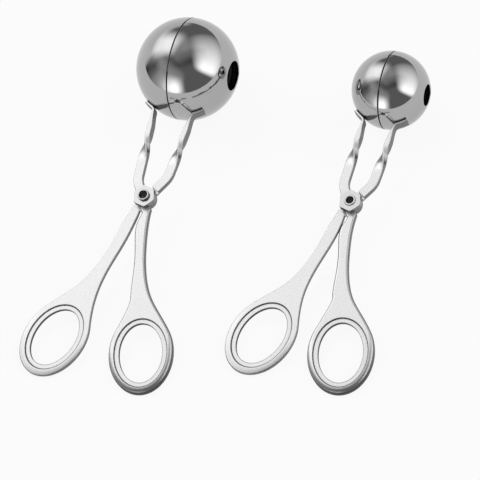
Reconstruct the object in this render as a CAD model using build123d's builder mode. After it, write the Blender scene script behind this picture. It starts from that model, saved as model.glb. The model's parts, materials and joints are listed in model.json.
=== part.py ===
from build123d import *
import math
import os

# Meatball tongs, a set of two sizes lying side by side, each closed to a ball.
# Each tongs is modelled flat: its pivot at the origin, X across, Y from the pivot
# to the ball, Z up out of the handles. Then it is tilted until its ball and its
# finger rings rest on the same surface, and the set is centred over the origin.

# Arm bar, shared by both sizes
bar_thickness = 2.4
bar_width = 4.2
bar_edge_radius = 0.4
crossing_angle = 31.0
lap_half_length = 5.6
lap_gap = 0.08
boss_diameter = 8.8
limb_bend_radius = 9.0

# Finger rings, shared by both sizes
ring_length = 36.4
ring_width = 28.2
ring_toe_out = 2.4
handle_side_shift = 1.1
upper_crossing_shift = 1.2
upper_limb_corner_height = 7.7
rim_at_ring_end = 3.0
rim_at_ring_side = 2.5
ledge_at_ring_end = 2.0
ledge_at_ring_side = 2.1
ledge_length = ring_length - 2 * rim_at_ring_end
ledge_width = ring_width - 2 * rim_at_ring_side
finger_hole_length = ledge_length - 2 * ledge_at_ring_end
finger_hole_width = ledge_width - 2 * ledge_at_ring_side
ledge_depth = 0.5
ledge_edge_radius = 0.18
handle_front_radius = 1.0
handle_back_radius = 0.4

# Twisted neck and welded tab, shared by both sizes
twist_length = 13.0
neck_taper_length = 5.0
tab_thickness = 1.2
tab_bend_radius = 2.6
weld_gap = 0.05

# Pivot screw and nut, shared by both sizes
screw_diameter = 5.0
screw_head_diameter = 8.4
screw_head_height = 1.6
screw_head_radius = 1.1
screw_bore_depth = 4.2
screw_lip_radius = 0.25
running_clearance = 0.05
thread_clearance = 0.02
nut_across_flats = 8.8
nut_height = 2.7
nut_corner_chamfer = 0.35
nut_face_gap = 0.05
nut_turn = -14.0

# Cups, shared by both sizes
cup_wall = 0.8
cup_rim_gap = 0.3
cup_edge_radius = 0.25

# Large tongs
large_ball_diameter = 45.0
large_vent_diameter = 12.9
large_cup_turn = -0.5
large_pivot_to_ball = 62.9
large_ring_distance = 71.0
large_handle_angle = 16.3
large_limb_corner = 13.0
large_twist_start = 16.5
large_tab_start = 29.0
large_tab_end = 35.5
large_screw_proud = 1.2
large_screw_bore = 3.6

# Small tongs
small_ball_diameter = 33.8
small_vent_diameter = 9.2
small_cup_turn = 2.4
small_pivot_to_ball = 54.9
small_ring_distance = 67.7
small_handle_angle = 15.1
small_limb_corner = 12.2
small_twist_start = 16.0
small_tab_start = 31.5
small_tab_end = 42.0
small_screw_proud = 0.4
small_screw_bore = 3.2

# Where the small tongs lies beside the large one
small_side_step = 88.4
small_length_step = 15.0
small_turn = -2.3

overrun = 1.0

# Flanks of a handle between the pivot and its ring: along in shares of the ring
# distance, across in shares of the bar width, outwards positive
inner_flank_shares = ((0.15, -0.62), (0.30, -0.88), (0.45, -0.94), (0.60, -1.20))
outer_flank_shares = ((0.17, 0.50), (0.31, 0.30), (0.46, 0.31), (0.62, 0.77))

# Where the flanks run into the ring, in degrees round its outline from the far end
ring_inner_joint = 232.0
ring_outer_joint = 118.0

# Twist of the neck: place along it against turn, as shares of the whole
twist_shares = ((0, 0), (0.15, 0.06), (0.32, 0.25), (0.5, 0.5), (0.68, 0.75), (0.85, 0.94), (1, 1))
quarter_turn = 90.0
half_turn = 180.0
whole_turn = 360.0


def polar(distance, angle):
    """A point at a distance from the pivot, its angle measured from Y towards -X."""
    turn = math.radians(angle)
    return Vector(-distance * math.sin(turn), distance * math.cos(turn))


def rounded_section(width, thickness):
    """The bar's section, drawn on the sketch that is open."""
    Rectangle(width, thickness)
    fillet(vertices(), bar_edge_radius)


class Tongs:
    """Sizes of one tongs and the places worked out from them."""

    def __init__(self, name, ball, vent, cup_turn, pivot_to_ball, ring_distance,
                 handle_angle, limb_corner, twist_start, tab_start, tab_end, screw_proud,
                 screw_bore):
        self.name = name
        self.ball_radius = ball / 2
        self.vent_radius = vent / 2
        self.cup_turn = cup_turn
        self.pivot_to_ball = pivot_to_ball
        self.ring_distance = ring_distance
        self.handle_angle = handle_angle
        self.tab_from_pole = tab_start
        self.tab_reach = tab_end - tab_start
        self.screw_proud = screw_proud
        self.screw_bore = screw_bore
        self.ball_centre = Vector(0, pivot_to_ball)
        # The straight neck runs from the limb's bend to the corner where the tab begins
        self.tab_radius = self.ball_radius + weld_gap + tab_thickness / 2
        self.tab_start = self.ball_centre - polar(self.tab_radius, -tab_start)
        tab_heading = polar(1, quarter_turn - tab_start)
        self.tab_corner = self.tab_start - tab_heading * tab_bend_radius
        self.limb_corner = polar(limb_corner, crossing_angle)
        self.neck_heading = (self.tab_corner - self.limb_corner).normalized()
        self.neck_across = Vector(self.neck_heading.Y, -self.neck_heading.X)
        self.neck_end = self.tab_corner - self.neck_heading * tab_bend_radius
        self.twist_start = self.on_neck(twist_start)
        self.twist_end = self.on_neck(twist_start + twist_length)

    def on_neck(self, distance):
        """The point of the straight neck that lies so far up from the pivot."""
        along = (distance - self.limb_corner.Y) / self.neck_heading.Y
        return self.limb_corner + self.neck_heading * along

    def ring_reach(self):
        """How far the finger rings reach back from the pivot."""
        slant = math.radians(self.handle_angle + ring_toe_out)
        half_length = math.hypot(ring_length * math.cos(slant), ring_width * math.sin(slant)) / 2
        return self.ring_distance * math.cos(math.radians(self.handle_angle)) + half_length

    def resting_tilt(self):
        """The tilt, in degrees, at which the ball and the rings touch one surface."""
        along = self.pivot_to_ball + self.ring_reach() - handle_back_radius
        up = bar_thickness / 2 - handle_back_radius
        drop = self.ball_radius - handle_back_radius
        return math.degrees(math.asin(drop / math.hypot(along, up)) - math.atan2(up, along))

    def pivot_height(self):
        return self.ball_radius - self.pivot_to_ball * math.sin(math.radians(self.resting_tilt()))


large = Tongs(
    "large", large_ball_diameter, large_vent_diameter, large_cup_turn,
    large_pivot_to_ball, large_ring_distance, large_handle_angle, large_limb_corner, large_twist_start,
    large_tab_start, large_tab_end, large_screw_proud, large_screw_bore,
)
small = Tongs(
    "small", small_ball_diameter, small_vent_diameter, small_cup_turn,
    small_pivot_to_ball, small_ring_distance, small_handle_angle, small_limb_corner, small_twist_start,
    small_tab_start, small_tab_end, small_screw_proud, small_screw_bore,
)


def make_arm(tongs, side_shift, crossing_shift, limb_corner):
    """The arm whose handle is on the right and whose cup is on the left."""
    slant = math.radians(tongs.handle_angle)
    along_handle = (math.sin(slant), -math.cos(slant), 0)
    down_tongs = (math.cos(slant), -math.sin(slant))
    crossing_turn = crossing_angle - tongs.handle_angle
    handle_back = Plane(origin=(side_shift, 0, -bar_thickness / 2), x_dir=along_handle, z_dir=(0, 0, 1))
    to_pivot = Vector(-side_shift * math.sin(slant), -side_shift * math.cos(slant))
    shoulder = to_pivot + Vector(lap_half_length, -crossing_shift).rotate(Axis.Z, crossing_turn)
    bar_start = polar(-lap_half_length, crossing_angle) + polar(crossing_shift, crossing_angle + quarter_turn)
    half_width = Vector(0, bar_width / 2).rotate(Axis.Z, crossing_turn)

    # Handle: two flanks that run from the crossing into the finger ring
    with BuildPart() as handle:
        with BuildSketch(handle_back):
            with BuildLine():
                ring = EllipticalCenterArc(
                    (tongs.ring_distance, 0), ring_length / 2, ring_width / 2, ring_inner_joint,
                    arc_size=whole_turn - ring_inner_joint + ring_outer_joint,
                    rotation=ring_toe_out,
                )
                inner = [(tongs.ring_distance * a, bar_width * b) for a, b in inner_flank_shares]
                outer = [(tongs.ring_distance * a, bar_width * b) for a, b in outer_flank_shares]
                Spline(shoulder - half_width, *inner, ring @ 0, tangents=(down_tongs, ring % 0))
                Spline(shoulder + half_width, *outer, ring @ 1, tangents=(down_tongs, -(ring % 1)))
                Line(shoulder - half_width, shoulder + half_width)
            make_face()
        extrude(amount=bar_thickness)
        outline = handle.edges().filter_by(GeomType.LINE, reverse=True)
        fillet(outline.group_by(Axis.Z)[-1], handle_front_radius)
        back = handle.edges().group_by(Axis.Z)[0].filter_by(GeomType.LINE, reverse=True)
        fillet(back, handle_back_radius)

    with BuildPart() as arm:
        # Crossing and lower limb: one bar, swept through the pivot to the twist
        with BuildLine():
            limb = FilletPolyline(bar_start, limb_corner, tongs.twist_start, radius=limb_bend_radius)
        with BuildSketch(Plane(origin=limb @ 0, x_dir=(0, 0, 1), z_dir=limb % 0)):
            rounded_section(bar_thickness, bar_width)
        sweep()

        # Twist: the front face turns outwards by a quarter turn
        for place, turn in twist_shares:
            roll = math.radians(quarter_turn * turn)
            across = tongs.neck_across * math.cos(roll) + Vector(0, 0, math.sin(roll))
            origin = tongs.twist_start + (tongs.twist_end - tongs.twist_start) * place
            with BuildSketch(Plane(origin=origin, x_dir=across, z_dir=tongs.neck_heading)):
                rounded_section(bar_width, bar_thickness)
        loft()

        # Neck: it thins before the tab, which is bent onto the outside of the cup
        taper_start = tongs.neck_end - tongs.neck_heading * neck_taper_length
        neck = ((tongs.twist_end, bar_thickness), (taper_start, bar_thickness), (tongs.neck_end, tab_thickness))
        for origin, thickness in neck:
            with BuildSketch(Plane(origin=origin, x_dir=(0, 0, 1), z_dir=tongs.neck_heading)):
                rounded_section(bar_width, thickness)
        loft(ruled=True)
        with BuildLine() as tab:
            FilletPolyline(tongs.neck_end, tongs.tab_corner, tongs.tab_start, radius=tab_bend_radius)
            CenterArc(tongs.ball_centre, tongs.tab_radius, -quarter_turn - tongs.tab_from_pole, -tongs.tab_reach)
        with BuildSketch(Plane(origin=tongs.neck_end, x_dir=(0, 0, 1), z_dir=tongs.neck_heading)):
            rounded_section(bar_width, tab_thickness)
        sweep(path=tab.wires()[0])

        with BuildSketch(Plane.XY.offset(-bar_thickness / 2)):
            Circle(boss_diameter / 2)
        extrude(amount=bar_thickness)
        add(handle.part)

        # Finger hole with a ledge round it on both faces
        for face in (-1, 1):
            floor = face * (bar_thickness / 2 - ledge_depth)
            with BuildSketch(Plane(origin=(side_shift, 0, floor), x_dir=along_handle, z_dir=(0, 0, face))):
                with Locations((tongs.ring_distance, 0)):
                    Ellipse(ledge_length / 2, ledge_width / 2, rotation=face * ring_toe_out)
            extrude(amount=ledge_depth + overrun, mode=Mode.SUBTRACT)
            ledge_rim = arm.edges().filter_by(GeomType.ELLIPSE).sort_by(Axis.Z)[-1 if face > 0 else 0]
            fillet(ledge_rim, ledge_edge_radius)
        with BuildSketch(handle_back):
            with Locations((tongs.ring_distance, 0)):
                Ellipse(finger_hole_length / 2, finger_hole_width / 2, rotation=ring_toe_out)
        extrude(amount=bar_thickness, mode=Mode.SUBTRACT)

        # Half lap at the crossing and the hole for the screw
        lap_floor = Plane(origin=(0, 0, lap_gap / 2), x_dir=polar(1, crossing_angle), z_dir=(0, 0, -1))
        with BuildSketch(lap_floor):
            Rectangle(2 * lap_half_length, 2 * boss_diameter)
        extrude(amount=bar_thickness, mode=Mode.SUBTRACT)
        Hole(screw_diameter / 2 + running_clearance)
    return arm.part


def make_cup(tongs):
    """The right-hand cup: half a hollow ball, open at its pole."""
    size = tongs.ball_radius
    axis = Vector(1, 0).rotate(Axis.Z, tongs.cup_turn)
    with BuildPart() as cup:
        with BuildSketch(Plane(origin=tongs.ball_centre, x_dir=axis, z_dir=(0, 0, 1))):
            Circle(size)
            Circle(size - cup_wall, mode=Mode.SUBTRACT)
            with Locations((cup_rim_gap / 2, tongs.vent_radius)):
                Rectangle(size, size, align=(Align.MIN, Align.MIN), mode=Mode.INTERSECT)
        revolve(axis=Axis(tongs.ball_centre, axis))
        fillet(cup.edges().filter_by(GeomType.CIRCLE), cup_edge_radius)
    return cup.part


def make_screw(tongs):
    """The pivot screw, its head below the arms and its hollow end above the nut."""
    head_seat = -bar_thickness / 2
    tip = bar_thickness / 2 + nut_face_gap + nut_height + tongs.screw_proud
    with BuildPart() as screw:
        with BuildSketch(Plane.XY.offset(head_seat)):
            Circle(screw_head_diameter / 2)
        extrude(amount=-screw_head_height)
        fillet(screw.edges().group_by(Axis.Z)[0], screw_head_radius)
        with BuildSketch(Plane.XY.offset(head_seat)):
            Circle(screw_diameter / 2)
        extrude(amount=tip - head_seat)
        with BuildSketch(Plane.XY.offset(tip)):
            Circle(tongs.screw_bore / 2)
        extrude(amount=-screw_bore_depth, mode=Mode.SUBTRACT)
        fillet(screw.edges().group_by(Axis.Z)[-1], screw_lip_radius)
    return screw.part


def make_nut():
    """The hexagon nut on the upper arm, its corners turned off at the top."""
    seat = bar_thickness / 2 + nut_face_gap
    corner_radius = nut_across_flats / math.sqrt(3)
    with BuildPart() as nut:
        with BuildSketch(Plane.XY.offset(seat)):
            RegularPolygon(nut_across_flats / 2, 6, major_radius=False, rotation=nut_turn)
        extrude(amount=nut_height)
        with BuildSketch(Plane.XZ):
            with Locations((0, seat)):
                Rectangle(corner_radius, nut_height, align=(Align.MIN, Align.MIN))
            top_corner = vertices().group_by(Axis.Y)[-1].sort_by(Axis.X)[-1]
            fillet(top_corner, nut_corner_chamfer)
        revolve(axis=Axis.Z, mode=Mode.INTERSECT)
        Hole(screw_diameter / 2 + thread_clearance)
    return nut.part


# The lower arm is shaped like the upper one, turned over about the tongs' length
turned_over = Location((0, 0, 0), (0, half_turn, 0))

pieces = {}
places = ((large, 0, 0, 0), (small, small_side_step, small_length_step, small_turn))
for tongs, side_step, length_step, turn in places:
    at_rest = Location((side_step, length_step, tongs.pivot_height()), (0, 0, turn))
    at_rest = at_rest * Location((0, 0, 0), (tongs.resting_tilt(), 0, 0))
    cup = make_cup(tongs)
    facing_back = Location(tongs.ball_centre) * Location((0, 0, 0), (0, 0, half_turn))
    facing_back = facing_back * Location(-tongs.ball_centre)
    upper_corner = tongs.on_neck(upper_limb_corner_height)
    upper_arm = make_arm(tongs, -handle_side_shift, upper_crossing_shift, upper_corner)
    lower_arm = make_arm(tongs, handle_side_shift, 0, tongs.limb_corner)
    flat_pieces = {
        "upper_arm": upper_arm,
        "lower_arm": lower_arm.moved(turned_over),
        "left_cup": cup.moved(facing_back),
        "right_cup": cup,
        "pivot_screw": make_screw(tongs),
        "pivot_nut": make_nut(),
    }
    for name, piece in flat_pieces.items():
        pieces[f"{tongs.name}_{name}"] = piece.moved(at_rest)

# The origin is below the middle of the whole set, on the surface it lies on
boxes = [piece.bounding_box() for piece in pieces.values()]
middle_x = (min(box.min.X for box in boxes) + max(box.max.X for box in boxes)) / 2
middle_y = (min(box.min.Y for box in boxes) + max(box.max.Y for box in boxes)) / 2
to_origin = Location((-middle_x, -middle_y, 0))

os.makedirs("parts", exist_ok=True)
for name, piece in pieces.items():
    placed = piece.moved(to_origin)
    placed.label = name
    export_step(placed, f"parts/{name}.step")
    print(name, f"{placed.volume:.1f} mm3")
print(f"large pivot at {-middle_x:.3f}, {-middle_y:.3f}, {large.pivot_height():.3f} mm")
print(f"tilts {large.resting_tilt():.3f} and {small.resting_tilt():.3f} degrees")
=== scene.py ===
import json
import math

import bpy
from mathutils import Matrix, Vector


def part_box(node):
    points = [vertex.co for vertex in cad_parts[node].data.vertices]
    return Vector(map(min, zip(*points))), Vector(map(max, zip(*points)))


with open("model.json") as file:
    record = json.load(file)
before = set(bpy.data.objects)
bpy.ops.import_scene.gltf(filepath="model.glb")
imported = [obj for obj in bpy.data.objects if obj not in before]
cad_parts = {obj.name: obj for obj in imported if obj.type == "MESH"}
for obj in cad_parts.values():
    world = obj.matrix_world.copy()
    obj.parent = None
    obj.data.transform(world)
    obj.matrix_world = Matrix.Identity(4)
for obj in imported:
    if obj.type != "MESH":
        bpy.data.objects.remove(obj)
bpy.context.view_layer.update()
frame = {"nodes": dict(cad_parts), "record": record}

nodes = frame["nodes"]
print("frame loaded,", len(nodes), "nodes")


# Shader maths: a Value wraps a socket, so plain sums and products on it add Math nodes
class Value:
    def __init__(self, shader, socket):
        self.shader = shader
        self.socket = socket

    def __add__(self, other):
        return self.shader.math("ADD", self, other)

    def __sub__(self, other):
        return self.shader.math("SUBTRACT", self, other)

    def __rsub__(self, other):
        return self.shader.math("SUBTRACT", other, self)

    def __mul__(self, other):
        return self.shader.math("MULTIPLY", self, other)

    def __truediv__(self, other):
        return self.shader.math("DIVIDE", self, other)

    __radd__ = __add__
    __rmul__ = __mul__


class Shader:
    def __init__(self, tree):
        self.tree = tree
        tree.nodes.clear()

    def node(self, kind, settings, sockets, output=0):  # settings first, then values or links
        made = self.tree.nodes.new(kind)
        for name, setting in settings.items():
            setattr(made, name, setting)
        for name, value in sockets.items():
            if isinstance(value, Value):
                self.tree.links.new(value.socket, made.inputs[name])
            else:
                made.inputs[name].default_value = value
        return Value(self, made.outputs[output]) if made.outputs else None

    def math(self, operation, *values):
        return self.node("ShaderNodeMath", {"operation": operation}, dict(enumerate(values)))

    def step(self, value, low, high):  # 0 below low, 1 above high, smooth between
        return self.node(
            "ShaderNodeMapRange", {"interpolation_type": "SMOOTHSTEP"},
            {"Value": value, "From Min": low, "From Max": high},
        )

    def band(self, value, low, full, fullEnd, high):  # 1 from full to fullEnd, 0 outside low and high
        return self.step(value, low, full) * (1 - self.step(value, fullEnd, high))

    def away(self, vector, direction):  # how far a vector goes along a direction, either way
        return self.math("ABSOLUTE", self.dot(vector, direction))

    def noise(self, scale, detail):
        return self.node("ShaderNodeTexNoise", {}, {"Vector": self.place(), "Scale": scale, "Detail": detail})

    def vector(self, operation, first, second, output=0):
        return self.node("ShaderNodeVectorMath", {"operation": operation}, {0: first, 1: second}, output)

    def dot(self, first, second):
        return self.vector("DOT_PRODUCT", first, second, output="Value")

    def place(self):  # in metres, in the part's own frame
        return self.node("ShaderNodeTexCoord", {}, {}, output="Object")

    def ray(self, kind):  # 1 where a ray of this kind arrives
        return self.node("ShaderNodeLightPath", {}, {}, output="Is " + kind + " Ray")

    def bump(self, height, strength, distance, **more):
        return self.node(
            "ShaderNodeBump", {}, {"Height": height, "Strength": strength, "Distance": distance, **more},
        )


def grey(level):
    return (level, level, level, 1.0)


# Camera: it looks down on the tongs from the right of their handles, a little rolled
view = {
    "target": (0.000965, -0.005415, 0.0),
    "distance": 1.0831,
    "azimuth": 38.767,
    "elevation": 55.507,
    "roll": -24.031,
    "lens": 191.02,
    "sensor": 36.0,
    "farEnd": 50.0,
}


def addCamera():
    tip = math.radians(90 - view["elevation"])
    turn = (Matrix.Rotation(math.radians(view["azimuth"]), 4, "Z") @ Matrix.Rotation(tip, 4, "X")
            @ Matrix.Rotation(math.radians(view["roll"]), 4, "Z"))
    camera = bpy.data.objects.new("camera", bpy.data.cameras.new("camera"))
    bpy.context.scene.collection.objects.link(camera)
    camera.matrix_world = (Matrix.Translation(Vector(view["target"])) @ turn
                           @ Matrix.Translation((0, 0, view["distance"])))
    camera.data.lens = view["lens"]
    camera.data.sensor_width = view["sensor"]
    camera.data.clip_end = view["farEnd"]
    bpy.context.scene.camera = camera


addCamera()
print("camera placed")

# Studio: a dark room with soft boxes, over a white table that reaches the horizon. Heading 0
# is behind the handles and 90 is on the right, in degrees. A box is flat and faces the part:
# its half sizes and the widths of its soft edges are in shares of its distance, and slope is
# how much its light changes from its middle to its right side. Negative levels are dark cards.
# Shares say how far the table is plain white to the camera and in the steel's reflections.
# The camera sees white beyond the table, and the steel sees the soft boxes.
studio = {
    "room": 0.19,
    "table": 0.92,
    "tableShare": 0.9,
    "tableInSteelShare": 0.68,
    "tableSize": 60.0,
    "boxFront": 0.02,
    "slopeEdge": 0.1,
    "slopeLimit": 1.5,
}
softBoxes = (
    {"heading": 126, "height": 30.2, "turn": 1.3, "half": (0.8, 0.17), "left": 0.65, "right": 0.03,
     "below": 1.03, "above": 0.82, "level": 1.12, "slope": -1.12},
    {"heading": -113, "height": 43.6, "turn": -10.4, "half": (0.11, 0.19), "left": 0.61, "right": 0.45,
     "below": 0.36, "above": 0.59, "level": 1.54, "slope": 0.04},
    {"heading": -125, "height": -2, "turn": -11, "half": (0.57, 0.32), "left": 0.35, "right": 0.48,
     "below": 0.13, "above": 0.28, "level": 0.67, "slope": 0.05},
    {"heading": -18, "height": 8.6, "turn": -1.5, "half": (0.09, 0.01), "left": 0.57, "right": 0.64,
     "below": 0.41, "above": 0.68, "level": 1.57, "slope": 0.43},
    {"heading": -36, "height": 22, "turn": 4.3, "half": (0.68, 0.37), "left": 0.45, "right": 0.52,
     "below": 0.27, "above": 0.74, "level": 0.29, "slope": -0.07},
    {"heading": -142, "height": 68.7, "turn": -3, "half": (0.23, 0.32), "left": 0.3, "right": 0.37,
     "below": 0.51, "above": 0.86, "level": 0.26, "slope": -0.1},
    {"heading": -67, "height": 10.6, "turn": 8.7, "half": (0.07, 0.2), "left": 0.27, "right": 0.25,
     "below": 0.13, "above": 0.5, "level": -0.31, "slope": -0.36},
    {"heading": 54, "height": 78.6, "turn": 20, "half": (0.83, 0.12), "left": 0.27, "right": 0.49,
     "below": 0.4, "above": 0.26, "level": -0.12, "slope": 0.69},
)


def softBox(shader, direction, box):
    heading, height = math.radians(box["heading"]), math.radians(box["height"])
    side = Vector((math.cos(heading), math.sin(heading), 0))
    flat = Vector((math.sin(heading), -math.cos(heading), 0))
    ahead = flat * math.cos(height) + Vector((0, 0, math.sin(height)))
    turn = Matrix.Rotation(math.radians(box["turn"]), 3, -ahead)
    wide, high = box["half"]
    near = shader.dot(direction, ahead)
    along = shader.dot(direction, turn @ side) / near
    up = shader.dot(direction, turn @ ahead.cross(side)) / near
    mask = shader.step(near, 0, studio["boxFront"])
    mask = mask * shader.band(along, -wide - box["left"], -wide, wide, wide + box["right"])
    mask = mask * shader.band(up, -high - box["below"], -high, high, high + box["above"])
    lean = shader.math("MINIMUM", along / (wide + studio["slopeEdge"]), studio["slopeLimit"])
    lean = shader.math("MAXIMUM", lean, -studio["slopeLimit"])
    return mask * (lean * box["slope"] + 1) * box["level"]


def lightStudio():
    world = bpy.data.worlds.new("studio")
    bpy.context.scene.world = world
    world.use_nodes = True
    shader = Shader(world.node_tree)
    direction = shader.node("ShaderNodeTexCoord", {}, {}, output="Generated")
    light = studio["room"]
    for box in softBoxes:
        light = softBox(shader, direction, box) + light
    light = shader.math("MAXIMUM", light, 0)
    plain = shader.node("ShaderNodeBackground", {}, {"Color": grey(1.0), "Strength": light})
    white = shader.node("ShaderNodeBackground", {}, {"Color": grey(1.0), "Strength": 1.0})
    share = shader.ray("Camera") + shader.ray("Transmission")
    both = shader.node("ShaderNodeMixShader", {}, {0: share, 1: plain, 2: white})
    shader.node("ShaderNodeOutputWorld", {}, {"Surface": both})


def addTable():
    bpy.ops.object.select_all(action="DESELECT")
    bpy.ops.mesh.primitive_plane_add(size=studio["tableSize"])
    table = bpy.context.object
    table.name = "table"
    material, shader = newMaterial("tableWhite")
    cloth = shader.node("ShaderNodeBsdfDiffuse", {}, {"Color": grey(studio["table"])})
    glow = shader.node("ShaderNodeEmission", {}, {"Color": grey(1.0), "Strength": 1.0})
    share = (shader.ray("Camera") + shader.ray("Transmission")) * studio["tableShare"]
    share = share + shader.ray("Glossy") * studio["tableInSteelShare"]
    both = shader.node("ShaderNodeMixShader", {}, {0: share, 1: cloth, 2: glow})
    shader.node("ShaderNodeOutputMaterial", {}, {"Surface": both})
    table.data.materials.append(material)


def newMaterial(name):
    material = bpy.data.materials.new(name)
    material.use_nodes = True
    return material, Shader(material.node_tree)


lightStudio()
addTable()
print("studio lit")


def directions(size):  # of one tongs: its pivot, across it, forward to its ball, and up through the pivot
    joints = {joint["name"]: joint for joint in frame["record"]["behaviour"]["joints"]}
    pivot = joints[size + "_pivot"]
    up = Vector(pivot["axis"])
    across = Vector((-up.y, up.x, 0)).normalized()
    return Vector(pivot["pos_m"]), across, up.cross(across), up


def facingUp(shader, size):  # 1 on the faces that lie flat, 0 on the cut edges
    return shader.away(shader.node("ShaderNodeTexCoord", {}, {}, output="Normal"), directions(size)[3])


def finishMetal(shader, level, metallic, roughness, normal):
    colour = shader.node("ShaderNodeCombineColor", {}, {0: level, 1: level, 2: level})
    surface = shader.node(
        "ShaderNodeBsdfPrincipled", {},
        {"Base Color": colour, "Roughness": roughness, "Metallic": metallic, "Normal": normal},
    )
    shader.node("ShaderNodeOutputMaterial", {}, {"Surface": surface})


# Mirror-polished steel of the cups, with faint marks of the polishing. Their insides and their
# parting lines are painted dark with shade: wall is how far under the outside the painted shade
# ends and the polish is full.
polish = {
    "level": 0.44,
    "levelSpread": 0.06,
    "insideShade": 0.12,
    "wall": (0.0006, 0.0003),
    "seamShade": 0.06,
    "seamWidth": (0.00021, 0.00036),
    "seamTurn": {"large": -0.5, "small": 2.4},
    "roughness": 0.035,
    "roughnessSpread": 0.04,
    "cloud": (60.0, 3.0),
    "marks": (900.0, 2.0),
    "marksStrength": 0.03,
    "marksDepth": 0.0001,
}


def polishedSteel(size):
    low = Vector(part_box(size + "_left_cup")[0])
    high = Vector(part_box(size + "_right_cup")[1])
    radius = (high - low).z / 2
    material, shader = newMaterial(size + "PolishedSteel")
    fromMiddle = shader.vector("SUBTRACT", shader.place(), (low + high) / 2)
    out = shader.vector("LENGTH", fromMiddle, (0, 0, 0), output="Value")
    outside = shader.step(out, radius - polish["wall"][0], radius - polish["wall"][1])
    _, across, forward, _ = directions(size)
    turn = math.radians(polish["seamTurn"][size])
    offSeam = shader.away(fromMiddle, across * math.cos(turn) + forward * math.sin(turn))
    cloud, marks = shader.noise(*polish["cloud"]), shader.noise(*polish["marks"])
    # painted shade: the cups' insides, seen through the vent holes, get a darker colour than their outsides
    level = (cloud - 0.5) * polish["levelSpread"] + polish["level"] - polish["insideShade"]
    level = level * outside + polish["insideShade"] - polish["seamShade"]
    # painted shade: a dark line along the parting line between the two cups
    level = level * shader.step(offSeam, *polish["seamWidth"]) + polish["seamShade"]
    roughness = cloud * polish["roughnessSpread"] + polish["roughness"]
    normal = shader.bump(marks, polish["marksStrength"], polish["marksDepth"])
    finishMetal(shader, level, 1.0, roughness, normal)
    return material


# Finger rings, measured from their pivots. The ovals are half lengths and half widths.
rings = {
    "distance": {"large": 0.071, "small": 0.0677},
    "angle": {"large": 16.3, "small": 15.1},
    "toeOut": 2.4,
    "shift": -0.0011,
    "outside": (0.0182, 0.0141),
    "ledge": (0.0152, 0.0116),
    "hole": (0.0132, 0.0095),
}

# Tumbled steel of the arms: pale satin faces, with painted shade on the cut edges, painted dark
# lines of shade on the corners and round the ledges, and painted shade on the hole walls. The
# rings' far rims, the upper ones most, are worn round and painted darker with shade from the ledge
# outwards. Pairs and fours are the values between which a finish fades in and out: of a face's
# tilt (1 flat, 0 upright), of an oval's size, or in metres along a ring from its middle.
satin = {
    "metallic": 0.6,
    "face": 0.75,
    "faceTilt": (0.25, 0.9),
    "sideShade": 0.22,
    "corner": 0.36,
    "cornerTilt": (0.3, 0.55, 0.75, 0.97),
    "spread": 0.04,
    "roughness": 0.22,
    "edgeRoughness": 0.42,
    "roughnessSpread": 0.1,
    "cloud": (220.0, 4.0),
    "grain": (2500.0, 3.0),
    "grainStrength": 0.03,
    "grainDepth": 0.0001,
    "holeWallShade": 0.06,
    "holeEdge": (1.0, 1.03),
    "ledgeLineShade": 0.1,
    "ledgeEdge": (0.97, 0.99, 1.01, 1.03),
    "wornFrom": 0.84,
    "wornLength": (-0.012, 0.004),
    "wornDepth": {"upper": 0.0009, "lower": 0.0002},
    "darkRim": (0.83, 0.93),
    "darkLength": (-0.006, 0.018),
    "rimShade": {"upper": 0.68, "lower": 0.15},
}


def ringShape(size, side):  # its middle, the way its length runs and the way its width runs
    pivot, across, forward, up = directions(size)
    hand = 1 if side == "upper" else -1

    def heading(angle):
        return across * math.sin(math.radians(angle)) * hand - forward * math.cos(math.radians(angle))

    middle = pivot + across * rings["shift"] + heading(rings["angle"][size]) * rings["distance"][size]
    length = heading(rings["angle"][size] + rings["toeOut"])
    return middle, length, up.cross(length)


def ovalShare(shader, along, aside, oval):  # 1 on the oval, less inside it
    length, width = along / oval[0], aside / oval[1]
    return shader.math("SQRT", length * length + width * width)


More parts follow.
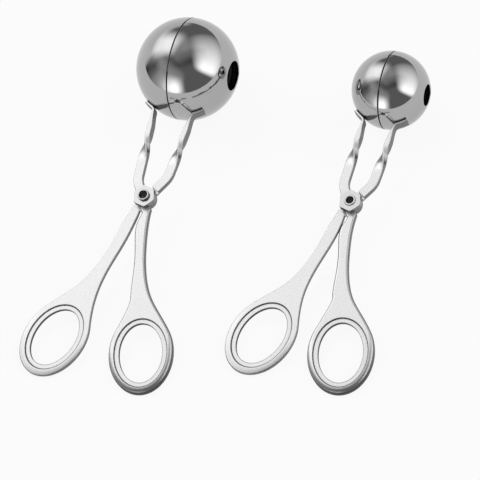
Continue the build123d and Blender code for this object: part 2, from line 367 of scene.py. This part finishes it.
def satinSteel(size, side):
    material, shader = newMaterial(size + side.capitalize() + "SatinSteel")
    cloud, grain = shader.noise(*satin["cloud"]), shader.noise(*satin["grain"])
    facing = facingUp(shader, size)
    face = shader.step(facing, *satin["faceTilt"])
    # painted shade: the upright cut edges get a darker colour than the flat faces
    level = face * (satin["face"] - satin["sideShade"]) + satin["sideShade"] + (cloud - 0.5) * satin["spread"]
    # painted shade: dark lines on the rounded corners between the faces and the cut edges
    level = level - shader.band(facing, *satin["cornerTilt"]) * satin["corner"]
    roughness = cloud * satin["roughnessSpread"] + satin["edgeRoughness"]
    roughness = roughness - face * (satin["edgeRoughness"] - satin["roughness"])

    middle, length, width = ringShape(size, side)
    fromMiddle = shader.vector("SUBTRACT", shader.place(), middle)
    along, aside = shader.dot(fromMiddle, length), shader.dot(fromMiddle, width)
    hole = ovalShare(shader, along, aside, rings["hole"])
    ledge = ovalShare(shader, along, aside, rings["ledge"])
    outside = ovalShare(shader, along, aside, rings["outside"])
    # painted shade on the walls of the finger holes
    level = (level - satin["holeWallShade"]) * shader.step(hole, *satin["holeEdge"]) + satin["holeWallShade"]
    # painted shade: a dark line round each ledge, where the face steps down
    level = level - (level - satin["ledgeLineShade"]) * shader.band(ledge, *satin["ledgeEdge"])
    # painted shade: the far rims darken from the ledge outwards, the upper rings most
    rimShade = shader.step(outside, *satin["darkRim"]) * shader.step(along, *satin["darkLength"])
    level = level * (1 - rimShade * satin["rimShade"][side])

    worn = shader.math("MAXIMUM", outside - satin["wornFrom"], 0) / (1 - satin["wornFrom"])
    worn = worn * shader.step(along, *satin["wornLength"])
    rim = shader.bump(worn * worn * -satin["wornDepth"][side], 1.0, 1.0)
    normal = shader.bump(grain, satin["grainStrength"], satin["grainDepth"], Normal=rim)
    finishMetal(shader, level, satin["metallic"], roughness, normal)
    return material


# Turned steel of the screws and nuts: bright faces, with painted shade on the sides and dark painted shade on
# the chamfers
hardware = {
    "face": 0.52,
    "faceTilt": (0.2, 0.8),
    "sideShade": 0.2,
    "corner": 0.25,
    "cornerTilt": (0.25, 0.45, 0.85, 0.98),
    "spread": 0.04,
    "roughness": 0.2,
    "roughnessSpread": 0.08,
    "cloud": (400.0, 3.0),
    "grain": (1800.0, 2.0),
    "grainStrength": 0.1,
    "grainDepth": 0.0001,
}


def hardwareSteel(size):
    material, shader = newMaterial(size + "HardwareSteel")
    cloud, grain = shader.noise(*hardware["cloud"]), shader.noise(*hardware["grain"])
    facing = facingUp(shader, size)
    face = shader.step(facing, *hardware["faceTilt"])
    # painted shade: the sides of the screws and nuts get a darker colour than their flat faces
    level = face * (hardware["face"] - hardware["sideShade"]) + hardware["sideShade"] + cloud * hardware["spread"]
    # painted shade: dark lines on the chamfers
    level = level - shader.band(facing, *hardware["cornerTilt"]) * hardware["corner"]
    roughness = cloud * hardware["roughnessSpread"] + hardware["roughness"]
    normal = shader.bump(grain, hardware["grainStrength"], hardware["grainDepth"])
    finishMetal(shader, level, 1.0, roughness, normal)
    return material


cupFinishes = {size: polishedSteel(size) for size in ("large", "small")}
hardwareFinishes = {size: hardwareSteel(size) for size in ("large", "small")}
for name, piece in nodes.items():
    size, side, kind = name.split("_")
    finish = hardwareFinishes[size]
    if kind == "cup":
        finish = cupFinishes[size]
    elif kind == "arm":
        finish = satinSteel(size, side)
    for slot in piece.material_slots:
        slot.material = finish
print("finishes given")

bpy.context.scene.view_settings.view_transform = "Standard"
